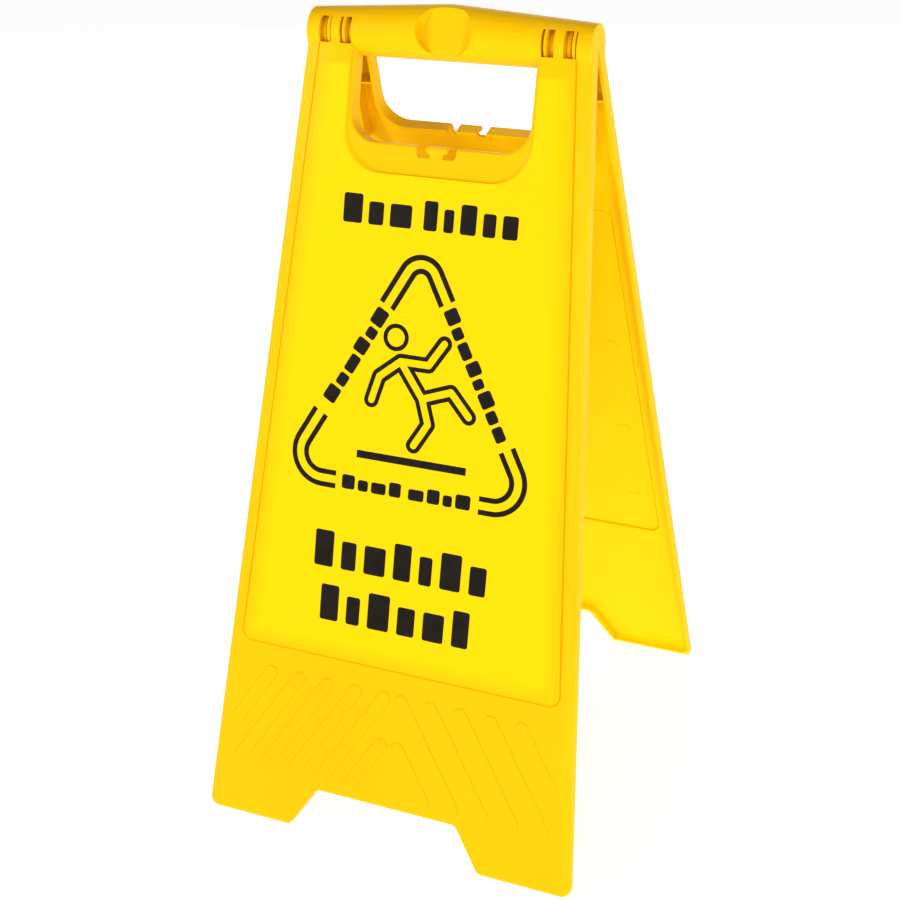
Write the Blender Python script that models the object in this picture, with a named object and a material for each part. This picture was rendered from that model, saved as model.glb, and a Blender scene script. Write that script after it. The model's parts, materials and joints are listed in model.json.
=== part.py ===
"""Folding A-frame floor sign: two identical moulded panels hinged inside their shared handle barrel.

Units are metres, +Z is up and the floor is z = 0. The hinge axis runs along X above the origin.
A panel is modelled hanging straight down from the hinge axis, which is the origin of its own frame:
x runs along the hinge, -y is the panel's outer side and z = -reach is a place on the panel.
"""

import math

import bmesh
import bpy
from mathutils import Matrix, Vector

# Stance
OPEN_HALF_ANGLE = math.radians(15.5)
FACE_OFFSET = 0.0137
FOOT_REACH = 0.6096
AXIS_HEIGHT = FOOT_REACH * math.cos(OPEN_HALF_ANGLE) - FACE_OFFSET * math.sin(OPEN_HALF_ANGLE)

# Panel outline
TOP_HALF_WIDTH = 0.1064
FOOT_HALF_WIDTH = 0.1530
FOOT_CORNER_RADIUS = 0.007
FOOT_RIM = 0.0045
EDGE_ROUNDING = 0.0035
WALL = 0.0025
REAR_TAPER = 0.0052
PARTING_GAP = 0.00015
OVERRUN = 0.02

# Raised print field
FIELD_HEIGHT = 0.0016
FIELD_MARGIN = 0.0120
FIELD_REACH = 0.4635
FIELD_CORNER_RADIUS = 0.012

# Handle barrel: two oblique cones that are fullest at the middle and straight along the underside
BARREL_END_RADIUS = 0.0162
BARREL_MIDDLE_RADIUS = 0.0198
BARREL_SIDES = 48
RIB = 0.0025
RIB_PLACES = (0.0340, 0.0693)
THUMB_FLOOR = 0.0115
THUMB_FLOOR_RADIUS = 0.0185
THUMB_MOUTH_RADIUS = 0.0225
THUMB_MOUTH_CLEARANCE = 0.0020

# Handle opening, its flange and the shallow finger recess round it
OPENING_HALF_WIDTH = 0.0680
OPENING_REACH = 0.0751
OPENING_CORNER_RADIUS = 0.020
FLANGE = 0.0022
RECESS_HALF_WIDTH = 0.0720
RECESS_REACH = 0.0968
RECESS_CORNER_RADIUS = 0.027
RECESS_DEPTH = 0.0020
SLOT_OUTER = 0.0165
SLOT_INNER = 0.0080
SLOT_HOOK = 0.0048
SLOT_REACH = 0.0836
SLOT_HOOK_REACH = 0.0805
SLOT_CORNER_RADIUS = 0.0030
SLOT_DRAFT = 0.0020

# Foot cut-out and relief stripes
CUTOUT_HALF_WIDTH = 0.0803
CUTOUT_TOP_HALF_WIDTH = 0.0583
CUTOUT_HEIGHT = 0.0356
CUTOUT_CORNER_RADIUS = 0.007
CUTOUT_LIP = 0.0003
STRIPE_WIDTH = 0.0105
STRIPE_PITCH = 0.0242
STRIPE_LEAN = math.radians(32.5)
STRIPE_RELIEF = 0.0005
STRIPE_TOP_REACH = 0.4860
STRIPE_FOOT_REACH = 0.5620
STRIPE_MIDDLE_GAP = 0.0070
STRIPE_EDGE_MARGIN = 0.0200
STRIPE_FIRST = -0.1520
STRIPE_COUNT = 7

# Hinge: knuckle discs of both panels lie side by side behind windows in the barrel
WINDOW_PLACES = (0.0755, 0.0915)
WINDOW_WIDTH = 0.0092
WINDOW_HEIGHT = 0.0182
KNUCKLE_STEP = 0.0021
KNUCKLE = 0.0026
KNUCKLE_WEB = 0.0021
KNUCKLE_WEB_INSET = 0.0015
KNUCKLE_RADIUS = 0.0124
PIN_RADIUS = 0.0025
PIN_SIDES = 24
PIN_CLEARANCE = 0.0003
PIN_START = 0.0714
PIN_END = 0.1032

# Post ribs
POST_RIB = 0.0018
POST_RIB_PLACE = 0.0840
POST_RIB_END = 0.0900
CROSS_RIB_REACH = 0.0400

ARC_STEPS = 6
ROUNDING_STEPS = 4
FLATNESS = 1e-9
SHARP_ANGLE = math.radians(30)
YELLOW = (0.94, 0.56, 0.005, 1.0)
YELLOW_ROUGHNESS = 0.38
STEEL = (0.62, 0.62, 0.64, 1.0)
STEEL_ROUGHNESS = 0.35


def clear_scene():
    for obj in list(bpy.data.objects):
        bpy.data.objects.remove(obj, do_unlink=True)


def new_collection(name):
    collection = bpy.data.collections.new(name)
    bpy.context.scene.collection.children.link(collection)
    return collection


def new_material(name, colour, roughness, metallic):
    material = bpy.data.materials.new(name)
    material.use_nodes = True
    shader = material.node_tree.nodes["Principled BSDF"]
    shader.inputs["Base Color"].default_value = colour
    shader.inputs["Roughness"].default_value = roughness
    shader.inputs["Metallic"].default_value = metallic
    return material


def half_width(reach):
    """Half the panel's width at a distance from the hinge axis."""
    return TOP_HALF_WIDTH + (FOOT_HALF_WIDTH - TOP_HALF_WIDTH) * reach / FOOT_REACH


def rear(z):
    """The y of the side walls' rear edges: on the parting plane at the hinge, forward of it at the foot."""
    return -PARTING_GAP + REAR_TAPER * z / FOOT_REACH


def rounded_outline(corners):
    """A closed outline from (x, z, radius) corners, with an arc wherever the radius isn't zero."""
    points = []
    count = len(corners)
    for i, (x, z, radius) in enumerate(corners):
        corner = Vector((x, z))
        if radius == 0:
            points.append(corner)
            continue
        before = (Vector(corners[i - 1][:2]) - corner).normalized()
        after = (Vector(corners[(i + 1) % count][:2]) - corner).normalized()
        half = before.angle(after) / 2
        centre = corner + (before + after).normalized() * radius / math.sin(half)
        start = corner + before * radius / math.tan(half) - centre
        end = corner + after * radius / math.tan(half) - centre
        sweep = start.angle_signed(end)
        for step in range(ARC_STEPS + 1):
            points.append(centre + Matrix.Rotation(-sweep * step / ARC_STEPS, 2) @ start)
    return points


def object_from_bmesh(mesh_builder, name, collection):
    bmesh.ops.recalc_face_normals(mesh_builder, faces=mesh_builder.faces[:])
    mesh = bpy.data.meshes.new(name)
    mesh_builder.to_mesh(mesh)
    mesh_builder.free()
    obj = bpy.data.objects.new(name, mesh)
    collection.objects.link(obj)
    return obj


def prism(name, collection, outline, front, back, rounding=0.0, taper=0.0):
    """An outline in x and z made solid between y = front and y = back, where back may be a function of z.

    rounding softens the front edges. taper moves the front edges inward by that much, as a draft.
    """
    builder = bmesh.new()
    face = builder.faces.new([builder.verts.new((p.x, front, p.y)) for p in outline])
    moved = bmesh.ops.extrude_face_region(builder, geom=[face])["geom"]
    rear_verts = [v for v in moved if isinstance(v, bmesh.types.BMVert)]
    for vert in rear_verts:
        vert.co.y = back(vert.co.z) if callable(back) else back
    bmesh.ops.recalc_face_normals(builder, faces=builder.faces[:])
    front_faces = [f for f in builder.faces if all(abs(v.co.y - front) < FLATNESS for v in f.verts)]
    if taper:
        bmesh.ops.inset_region(builder, faces=front_faces, thickness=taper, depth=0.0)
        inner = {v for f in front_faces for v in f.verts}
        slope = [v for v in builder.verts if abs(v.co.y - front) < FLATNESS and v not in inner]
        for vert in slope:
            vert.co.y = front + taper
    if rounding:
        edges = {e for f in front_faces for e in f.edges}
        bmesh.ops.bevel(
            builder, geom=list(edges), offset=rounding, segments=ROUNDING_STEPS, profile=0.5, affect="EDGES"
        )
    return object_from_bmesh(builder, name, collection)


def trapezoid(top, bottom, inset, radius):
    """The panel's tapering outline from z = -top to z = -bottom, inset at its sides, rounded at its foot."""
    return rounded_outline(
        [
            (-half_width(top) + inset, -top, 0),
            (half_width(top) - inset, -top, 0),
            (half_width(bottom) - inset, -bottom, radius),
            (-half_width(bottom) + inset, -bottom, radius),
        ]
    )


def u_outline(half, top, bottom, radius):
    """A straight-sided outline with square upper corners and round lower ones."""
    corners = [(-half, -top, 0), (half, -top, 0), (half, -bottom, radius), (-half, -bottom, radius)]
    return rounded_outline(corners)


def barrel_radius(x):
    share = 1 - abs(x) / TOP_HALF_WIDTH
    return BARREL_END_RADIUS + (BARREL_MIDDLE_RADIUS - BARREL_END_RADIUS) * share


def half_barrel(name, collection, start, end, inset, shave=0.0):
    """The part of the barrel between two places on the hinge axis that belongs to one panel.

    Its lower edge lies on the parting plane. Its upper edge meets the other half when the sign stands open.
    """
    builder = bmesh.new()
    stations = sorted({start, end} | ({0.0} if start < 0.0 < end else set()))
    loops = []
    for x in stations:
        radius = barrel_radius(x) - inset
        rise = barrel_radius(x) - BARREL_END_RADIUS
        place = Matrix.Translation((x, 0, rise)) @ Matrix.Rotation(math.pi / 2, 4, "Y")
        made = bmesh.ops.create_circle(builder, segments=BARREL_SIDES, radius=radius, matrix=place)
        loops.append(made["verts"])
    for first, second in zip(loops, loops[1:]):
        edges = {e for v in first + second for e in v.link_edges if e.is_wire or len(e.link_faces) == 1}
        bmesh.ops.bridge_loops(builder, edges=list(edges))
    bmesh.ops.holes_fill(builder, edges=[e for e in builder.edges if len(e.link_faces) == 1])
    stop_normal = Vector((0, math.cos(OPEN_HALF_ANGLE), math.sin(OPEN_HALF_ANGLE)))
    for normal in (Vector((0, 1, 0)), stop_normal):
        geometry = builder.verts[:] + builder.edges[:] + builder.faces[:]
        place = -normal * (PARTING_GAP + shave)
        bmesh.ops.bisect_plane(builder, geom=geometry, plane_co=place, plane_no=normal, clear_outer=True)
        bmesh.ops.holes_fill(builder, edges=[e for e in builder.edges if len(e.link_faces) == 1])
    return object_from_bmesh(builder, name, collection)


def disc(name, collection, x, radius, length, sides=BARREL_SIDES):
    """A round disc or rod about the hinge axis, with its middle at x."""
    builder = bmesh.new()
    turn = Matrix.Translation((x, 0, 0)) @ Matrix.Rotation(math.pi / 2, 4, "Y")
    bmesh.ops.create_cone(
        builder, cap_ends=True, segments=sides, radius1=radius, radius2=radius, depth=length, matrix=turn
    )
    return object_from_bmesh(builder, name, collection)


def thumb_cone(name, collection, extra):
    """A round pocket in the middle of the barrel: a cone whose flat floor faces the outer side."""
    builder = bmesh.new()
    rise = BARREL_MIDDLE_RADIUS - BARREL_END_RADIUS
    depth = BARREL_MIDDLE_RADIUS - THUMB_FLOOR + extra + THUMB_MOUTH_CLEARANCE
    floor = -THUMB_FLOOR + extra
    turn = Matrix.Translation((0, floor - depth / 2, rise)) @ Matrix.Rotation(math.pi / 2, 4, "X")
    bmesh.ops.create_cone(
        builder,
        cap_ends=True,
        segments=BARREL_SIDES,
        radius1=THUMB_FLOOR_RADIUS + extra,
        radius2=THUMB_MOUTH_RADIUS + extra,
        depth=depth,
        matrix=turn,
    )
    return object_from_bmesh(builder, name, collection)


def box(name, collection, low, high):
    builder = bmesh.new()
    size = Vector(high) - Vector(low)
    place = Matrix.Translation((Vector(high) + Vector(low)) / 2) @ Matrix.Diagonal((*size, 1))
    bmesh.ops.create_cube(builder, size=1.0, matrix=place)
    return object_from_bmesh(builder, name, collection)


def stripe_outline(side, index):
    """A round-ended relief stripe that leans towards the panel's middle, or None where there is no room."""
    radius = STRIPE_WIDTH / 2
    tilt = math.tan(STRIPE_LEAN)
    foot_x = STRIPE_FIRST + index * STRIPE_PITCH
    foot_z = -STRIPE_FOOT_REACH
    edge_x = -half_width(STRIPE_FOOT_REACH) + STRIPE_EDGE_MARGIN
    if foot_x < edge_x:
        foot_z += (edge_x - foot_x) / tilt
        foot_x = edge_x
    top_z = -STRIPE_TOP_REACH
    top_x = foot_x + (top_z - foot_z) * tilt
    if top_x > -STRIPE_MIDDLE_GAP:
        top_z -= (top_x + STRIPE_MIDDLE_GAP) / tilt
        top_x = -STRIPE_MIDDLE_GAP
    if top_z <= foot_z:
        return None
    outline = []
    for centre_x, centre_z, first in ((top_x, top_z, 0.0), (foot_x, foot_z, math.pi)):
        for step in range(ARC_STEPS + 1):
            angle = first - STRIPE_LEAN + math.pi * step / ARC_STEPS
            along = centre_x + radius * math.cos(angle)
            outline.append(Vector((side * along, centre_z + radius * math.sin(angle))))
    return outline


def cutout_outline(margin):
    """The arch between the feet, widened by a margin, with its lower corners flared round."""
    top = -FOOT_REACH + CUTOUT_HEIGHT + margin
    foot = -FOOT_REACH + CUTOUT_LIP
    right = [
        (CUTOUT_TOP_HALF_WIDTH + margin, top, CUTOUT_CORNER_RADIUS),
        (CUTOUT_HALF_WIDTH + margin, foot, CUTOUT_CORNER_RADIUS),
        (CUTOUT_HALF_WIDTH + margin + OVERRUN / 2, foot, 0),
        (CUTOUT_HALF_WIDTH + margin + OVERRUN / 2, foot - OVERRUN, 0),
    ]
    left = [(-x, z, radius) for x, z, radius in reversed(right)]
    return rounded_outline(right + left)


def tongue_slot_outline(side):
    """A slot beside the tongue in the opening's lower edge, hooked inward at its foot."""
    top = -OPENING_REACH + 2 * FLANGE
    corners = [
        (side * SLOT_INNER, top, 0),
        (side * SLOT_INNER, -SLOT_HOOK_REACH, 0),
        (side * SLOT_HOOK, -SLOT_HOOK_REACH, 0),
        (side * SLOT_HOOK, -SLOT_REACH, 0),
        (side * (SLOT_OUTER - SLOT_DRAFT), -SLOT_REACH, SLOT_CORNER_RADIUS),
        (side * SLOT_OUTER, top, 0),
    ]
    return rounded_outline(corners)


def boolean(target, cutter, operation):
    modifier = target.modifiers.new(operation.title() + "_" + cutter.name, "BOOLEAN")
    modifier.operation = operation
    modifier.solver = "EXACT"
    modifier.object = cutter
    cutter.hide_render = True
    cutter.display_type = "WIRE"


def frozen(obj, name):
    """The object's mesh with its modifiers applied, as a new mesh."""
    bpy.context.view_layer.update()
    evaluated = obj.evaluated_get(bpy.context.evaluated_depsgraph_get())
    mesh = bpy.data.meshes.new_from_object(evaluated)
    mesh.name = name
    return mesh


def hollow_barrel_room(base, cutters):
    """Opens the barrel's inside between its end walls, its ribs and the shell of the thumb pocket."""
    outer_end = TOP_HALF_WIDTH - WALL
    rooms = (
        (-outer_end, -RIB_PLACES[1] - RIB / 2),
        (-RIB_PLACES[1] + RIB / 2, -RIB_PLACES[0] - RIB / 2),
        (-RIB_PLACES[0] + RIB / 2, RIB_PLACES[0] - RIB / 2),
        (RIB_PLACES[0] + RIB / 2, RIB_PLACES[1] - RIB / 2),
        (RIB_PLACES[1] + RIB / 2, outer_end),
    )
    for index, (start, end) in enumerate(rooms):
        room = half_barrel(f"hollow_barrel_{index}", cutters, start, end, WALL, shave=-OVERRUN)
        boolean(base, room, "UNION")
    boolean(base, thumb_cone("hollow_thumb", cutters, WALL), "DIFFERENCE")


def keep_flange(base, cutters):
    """Leaves a flange standing round the handle opening, up to the barrel's inside."""
    half = OPENING_HALF_WIDTH + FLANGE
    outline = u_outline(half, 0.0, OPENING_REACH + FLANGE, OPENING_CORNER_RADIUS + FLANGE)
    flange = prism("hollow_flange", cutters, outline, -FACE_OFFSET - OVERRUN, 2 * OVERRUN)
    length = OPENING_HALF_WIDTH + OVERRUN / 2
    barrel = half_barrel("hollow_flange_barrel", cutters, -length, length, WALL, shave=-OVERRUN)
    boolean(flange, barrel, "DIFFERENCE")
    boolean(base, flange, "DIFFERENCE")


def keep_post_ribs(base, cutters):
    """Leaves an upright rib and a cross rib standing in each post beside the handle opening."""
    for side in (-1, 1):
        hand = "lr"[side > 0]
        middle = side * POST_RIB_PLACE
        low = (middle - POST_RIB / 2, -FACE_OFFSET, -POST_RIB_END)
        high = (middle + POST_RIB / 2, 2 * OVERRUN, -BARREL_END_RADIUS)
        boolean(base, box(f"hollow_post_rib_{hand}", cutters, low, high), "DIFFERENCE")
        ends = sorted((side * OPENING_HALF_WIDTH, side * (TOP_HALF_WIDTH + OVERRUN / 2)))
        low = (ends[0], -FACE_OFFSET, -CROSS_RIB_REACH - POST_RIB)
        high = (ends[1], 2 * OVERRUN, -CROSS_RIB_REACH)
        boolean(base, box(f"hollow_cross_rib_{hand}", cutters, low, high), "DIFFERENCE")


def hollow(cutters):
    """The open space inside a panel, as one solid: the back of the face, the posts and the barrel."""
    inner_face = -FACE_OFFSET + WALL
    outline = trapezoid(0.0, FOOT_REACH - FOOT_RIM, WALL, FOOT_CORNER_RADIUS)
    base = prism("hollow", cutters, outline, inner_face, OVERRUN)
    outline = trapezoid(0.0, FIELD_REACH - WALL, FIELD_MARGIN + WALL, FIELD_CORNER_RADIUS - WALL)
    field = prism("hollow_field", cutters, outline, inner_face - FIELD_HEIGHT, OVERRUN / 2)
    boolean(base, field, "UNION")
    outline = u_outline(RECESS_HALF_WIDTH + WALL, -OVERRUN, RECESS_REACH + WALL, RECESS_CORNER_RADIUS + WALL)
    floor = inner_face - FIELD_HEIGHT + RECESS_DEPTH
    recess = prism("hollow_recess", cutters, outline, -FACE_OFFSET - OVERRUN, floor)
    boolean(base, recess, "DIFFERENCE")
    rim = prism("hollow_cutout_rim", cutters, cutout_outline(WALL), -FACE_OFFSET - OVERRUN, 2 * OVERRUN)
    boolean(base, rim, "DIFFERENCE")
    hollow_barrel_room(base, cutters)
    keep_flange(base, cutters)
    keep_post_ribs(base, cutters)
    return base


def panel_mesh(cutters):
    """One panel, hanging from the hinge axis at the origin."""
    outline = trapezoid(0.0, FOOT_REACH, 0.0, FOOT_CORNER_RADIUS)
    panel = prism("panel_blank", cutters, outline, -FACE_OFFSET, rear, rounding=EDGE_ROUNDING)
    panel.hide_render = True
    panel.display_type = "WIRE"
    field = prism(
        "field",
        cutters,
        trapezoid(0.0, FIELD_REACH, FIELD_MARGIN, FIELD_CORNER_RADIUS),
        -FACE_OFFSET - FIELD_HEIGHT,
        -FACE_OFFSET + WALL / 2,
        taper=FIELD_HEIGHT,
    )
    boolean(panel, field, "UNION")
    recess = prism(
        "finger_recess",
        cutters,
        u_outline(RECESS_HALF_WIDTH, -OVERRUN, RECESS_REACH, RECESS_CORNER_RADIUS),
        -FACE_OFFSET - OVERRUN,
        -FACE_OFFSET - FIELD_HEIGHT + RECESS_DEPTH,
    )
    boolean(panel, recess, "DIFFERENCE")
    opening = prism(
        "handle_opening",
        cutters,
        u_outline(OPENING_HALF_WIDTH, -OVERRUN, OPENING_REACH, OPENING_CORNER_RADIUS),
        -FACE_OFFSET - OVERRUN,
        OVERRUN,
    )
    boolean(panel, opening, "DIFFERENCE")
    barrel = half_barrel("barrel", cutters, -TOP_HALF_WIDTH, TOP_HALF_WIDTH, 0.0)
    boolean(panel, barrel, "UNION")
    boolean(panel, hollow(cutters), "DIFFERENCE")
    boolean(panel, thumb_cone("thumb_pocket", cutters, 0.0), "DIFFERENCE")
    for side in (-1, 1):
        name = f"tongue_slot_{'lr'[side > 0]}"
        slot = prism(name, cutters, tongue_slot_outline(side), -FACE_OFFSET - OVERRUN, OVERRUN)
        boolean(panel, slot, "DIFFERENCE")
    cutout = prism("foot_cutout", cutters, cutout_outline(0.0), -FACE_OFFSET - OVERRUN, OVERRUN)
    boolean(panel, cutout, "DIFFERENCE")
    floor = box(
        "floor",
        cutters,
        (-2 * FOOT_HALF_WIDTH, -FOOT_REACH, -FOOT_REACH - AXIS_HEIGHT),
        (2 * FOOT_HALF_WIDTH, FOOT_REACH, -AXIS_HEIGHT),
    )
    floor.rotation_euler.x = OPEN_HALF_ANGLE
    boolean(panel, floor, "DIFFERENCE")
    for side in (-1, 1):
        for index in range(STRIPE_COUNT):
            outline = stripe_outline(side, index)
            if outline:
                name = f"stripe_{'lr'[side > 0]}_{index}"
                front = -FACE_OFFSET - STRIPE_RELIEF
                stripe = prism(name, cutters, outline, front, -FACE_OFFSET + WALL / 2)
                boolean(panel, stripe, "UNION")
    add_knuckles(panel, cutters)
    return frozen(panel, "panel")


def knuckle_places():
    """Where one panel has its knuckle discs: the other panel's, turned half a turn, lie beside them."""
    inner, outer = WINDOW_PLACES
    return (
        inner - KNUCKLE_STEP,
        outer + KNUCKLE_STEP,
        -inner - KNUCKLE_STEP,
        -outer + KNUCKLE_STEP,
    )


def add_knuckles(panel, cutters):
    for side in (-1, 1):
        for index, place in enumerate(WINDOW_PLACES):
            window = box(
                f"window_{'lr'[side > 0]}_{index}",
                cutters,
                (side * place - WINDOW_WIDTH / 2, -FACE_OFFSET - OVERRUN, -WINDOW_HEIGHT / 2),
                (side * place + WINDOW_WIDTH / 2, -KNUCKLE_RADIUS / 2, WINDOW_HEIGHT / 2),
            )
            boolean(panel, window, "DIFFERENCE")
    for index, x in enumerate(knuckle_places()):
        name = f"knuckle_web_{index}"
        half = KNUCKLE_WEB / 2
        web = half_barrel(name, cutters, x - half, x + half, KNUCKLE_WEB_INSET, shave=PARTING_GAP)
        boolean(panel, web, "UNION")
        boolean(panel, disc(f"knuckle_disc_{index}", cutters, x, KNUCKLE_RADIUS, KNUCKLE), "UNION")
    for side in (-1, 1):
        middle = side * (PIN_START + PIN_END) / 2
        hole = disc(
            f"pin_hole_{'lr'[side > 0]}",
            cutters,
            middle,
            PIN_RADIUS + PIN_CLEARANCE,
            PIN_END - PIN_START + 2 * PIN_CLEARANCE,
            sides=PIN_SIDES,
        )
        boolean(panel, hole, "DIFFERENCE")


def smooth(mesh):
    mesh.shade_smooth()
    mesh.set_sharp_from_angle(angle=SHARP_ANGLE)


def main():
    clear_scene()
    sign = new_collection("wet_floor_sign")
    cutters = new_collection("cutters")
    plastic = new_material("yellow_polypropylene", YELLOW, YELLOW_ROUGHNESS, 0.0)
    steel = new_material("pin_steel", STEEL, STEEL_ROUGHNESS, 1.0)
    mesh = panel_mesh(cutters)
    smooth(mesh)
    mesh.materials.clear()
    mesh.materials.append(plastic)
    axis = Vector((0, 0, AXIS_HEIGHT))
    stances = {
        "front_panel": Matrix.Rotation(-OPEN_HALF_ANGLE, 4, "X"),
        "back_panel": Matrix.Rotation(OPEN_HALF_ANGLE, 4, "X") @ Matrix.Rotation(math.pi, 4, "Z"),
    }
    for name, turn in stances.items():
        panel = bpy.data.objects.new(name, mesh)
        panel.matrix_world = Matrix.Translation(axis) @ turn
        sign.objects.link(panel)
    for name, side in (("hinge_pin_left", -1), ("hinge_pin_right", 1)):
        pin = disc(name, sign, 0.0, PIN_RADIUS, PIN_END - PIN_START, sides=PIN_SIDES)
        pin.location = axis + Vector((side * (PIN_START + PIN_END) / 2, 0, 0))
        smooth(pin.data)
        pin.data.materials.append(steel)


main()
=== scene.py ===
"""Looks of a folding floor sign: two alike yellow mouldings, hinged in a handle barrel and printed.

Units are metres. A panel is modelled hanging straight down from the hinge axis, the origin of its
own frame: x runs along the hinge, -y is the outer side and z = -reach is a place on the panel.
"""
import json
import math

import bmesh
import bpy
from mathutils import Matrix, Vector

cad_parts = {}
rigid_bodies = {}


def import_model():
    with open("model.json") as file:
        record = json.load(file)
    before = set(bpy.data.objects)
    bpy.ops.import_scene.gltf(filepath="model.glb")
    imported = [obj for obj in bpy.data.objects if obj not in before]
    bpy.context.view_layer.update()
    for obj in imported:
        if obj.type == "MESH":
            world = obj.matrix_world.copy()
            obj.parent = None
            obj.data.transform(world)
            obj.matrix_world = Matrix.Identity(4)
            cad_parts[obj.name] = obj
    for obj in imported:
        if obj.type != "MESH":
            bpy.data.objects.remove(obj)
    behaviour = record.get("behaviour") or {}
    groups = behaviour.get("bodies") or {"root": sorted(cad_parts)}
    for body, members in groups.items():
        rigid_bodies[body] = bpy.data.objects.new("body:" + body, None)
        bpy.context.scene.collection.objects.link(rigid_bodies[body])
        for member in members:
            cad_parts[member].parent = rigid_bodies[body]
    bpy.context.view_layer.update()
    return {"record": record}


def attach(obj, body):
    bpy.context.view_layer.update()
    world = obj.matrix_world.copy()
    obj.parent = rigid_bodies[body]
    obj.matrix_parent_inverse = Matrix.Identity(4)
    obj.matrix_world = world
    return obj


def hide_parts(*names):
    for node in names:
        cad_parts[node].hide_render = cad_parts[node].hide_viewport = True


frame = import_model()

# Stance
OPEN_HALF_ANGLE = math.radians(15.5)
FACE_OFFSET = 0.0137
FOOT_REACH = 0.6096
AXIS = Vector(frame["record"]["behaviour"]["joints"][0]["pos_m"])

# Panel outline
TOP_HALF_WIDTH = 0.1064
FOOT_HALF_WIDTH = 0.1530
FOOT_CORNER_RADIUS = 0.007
FOOT_RIM = 0.0045
EDGE_ROUNDING = 0.0040
WALL = 0.0025
REAR_TAPER = 0.0052
PARTING_GAP = 0.00015

# Room that cutters and helpers are given past what they cut, and a sliver that keeps planes apart
OVERRUN = 0.02
LIFT = 0.00002

# Raised print field with a gently sloping margin
FIELD_HEIGHT = 0.0016
FIELD_STEP = 0.0010
FIELD_MARGIN = 0.0114
FIELD_SLOPE = 0.0134
FIELD_REACH = 0.4633
FIELD_CORNER_RADIUS = 0.008
FIELD_SMALLEST_RADIUS = 0.003
FIELD_EDGE = ((0.0, -0.0007), (0.00012, -0.0003), (0.0004, -0.0001))
GROOVE = 0.0011

# Side strips that fall back from the face before they round over
SIDE_SLOPE = 0.0100
SIDE_DROP = 0.0018
EDGE_DEPTHS = (0.0, 0.5 * SIDE_DROP, SIDE_DROP, 0.0020, 0.0024, 0.0029, EDGE_ROUNDING)

# The hollow behind the face, and the groove along its field's border
HOLLOW_ROUNDING = 0.0015
HOLLOW_DRAFT = 0.0004
HOLLOW_FIELD_EDGE = ((0.0013, -0.0006), (0.0001, -0.0002))
HOLLOW_RECESS_ROUNDING = 0.0012
HOLLOW_RECESS_EDGE = (0.0003, 0.0002)
INNER_GROOVE_DEPTH = 0.0019
INNER_GROOVE_MARGINS = (-0.0004, 0.0001, 0.0005, -0.0012)
INNER_BORDER_TOP = 0.1380

# Handle barrel
BARREL_END_RADIUS = 0.0162
BARREL_MIDDLE_RADIUS = 0.0198
BARREL_SIDES = 128
BARREL_EDGE = 0.0005
BARREL_SHARP_ANGLE = math.radians(50)
RIB = 0.0025
RIB_PLACES = (0.0340, 0.0693)
THUMB_FLOOR = 0.0115
THUMB_FLOOR_RADIUS = 0.0185
THUMB_MOUTH_RADIUS = 0.0225
THUMB_FILLET = 0.0015

# Handle opening
OPENING_HALF_WIDTH = 0.0680
OPENING_REACH = 0.0751
OPENING_CORNER_RADIUS = 0.020
OPENING_LIP = 0.0022
FLANGE = 0.0022
RECESS_HALF_WIDTH = 0.0720
RECESS_REACH = 0.0968
RECESS_CORNER_RADIUS = 0.027
RECESS_DEPTH = 0.0020
RECESS_SLOPE = 0.0030
RECESS_CORNER_SLOPE = 0.0075
RECESS_STEPS = 6
RECESS_FLARE = -0.02
SLOT_OUTER = 0.0165
SLOT_INNER = 0.0080
SLOT_HOOK = 0.0048
SLOT_REACH = 0.0836
SLOT_HOOK_REACH = 0.0805
SLOT_HOOK_RISE = 0.0012
SLOT_DRAFT = 0.0020
SLOT_NECK_RADIUS = 0.0009
SLOT_TIP_RADIUS = 0.0008
SLOT_HEEL_RADIUS = 0.0010
SLOT_CORNER_RADIUS = 0.0030

# Foot cut-out and relief stripes
CUTOUT_HALF_WIDTH = 0.0803
CUTOUT_TOP_HALF_WIDTH = 0.0583
CUTOUT_HEIGHT = 0.0356
CUTOUT_CORNER_RADIUS = 0.007
CUTOUT_LIP = 0.0003
CUTOUT_FILLET = 0.0009
STRIPE_WIDTH = 0.0105
STRIPE_PITCH = 0.0242
STRIPE_LEAN = math.radians(32.5)
STRIPE_RELIEF = 0.0009
STRIPE_EDGE = ((0.0, -0.0010), (0.0001, -0.0006), (0.0006, -0.0001))
STRIPE_TOP_REACH = 0.4860
STRIPE_FOOT_REACH = 0.5620
STRIPE_MIDDLE_GAP = 0.0070
STRIPE_EDGE_MARGIN = 0.0200
STRIPE_FIRST = -0.1520
STRIPE_COUNT = 7

# Hinge
WINDOW_PLACES = (0.0755, 0.0915)
WINDOW_WIDTH = 0.0092
WINDOW_HEIGHT = 0.0182
WINDOW_CORNER_RADIUS = 0.0007
KNUCKLE_STEP = 0.0021
KNUCKLE = 0.0026
KNUCKLE_EDGE = 0.0003
KNUCKLE_WEB = 0.0021
KNUCKLE_WEB_INSET = WALL * 0.6
KNUCKLE_RADIUS = 0.0124
PIN_RADIUS = 0.0025
SPACER_RADIUS = 0.0108
SPACER_START = 0.0709
SPACER_END = 0.1034
SPACER_CLEARANCE = 0.0002
PIN_HOLE_RADIUS = 0.0028
PIN_HOLE_EXTRA = 0.0006
PIN_SIDES = 48
PIN_START = 0.0714
PIN_END = 0.1032
PIN_CHAMFER = 0.0005

# Ribs and marks inside
POST_RIB = 0.0018
POST_RIB_PLACE = 0.0840
POST_RIB_END = 0.0900
CROSS_RIB_REACH = 0.0400
EJECTOR_RADIUS = 0.0055
EJECTOR_HEIGHT = 0.0005
EJECTOR_SIDES = 32
EJECTOR_PLACES = ((0.000, 0.150), (0.096, 0.265), (0.101, 0.350), (0.000, 0.380), (0.107, 0.425))

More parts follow.
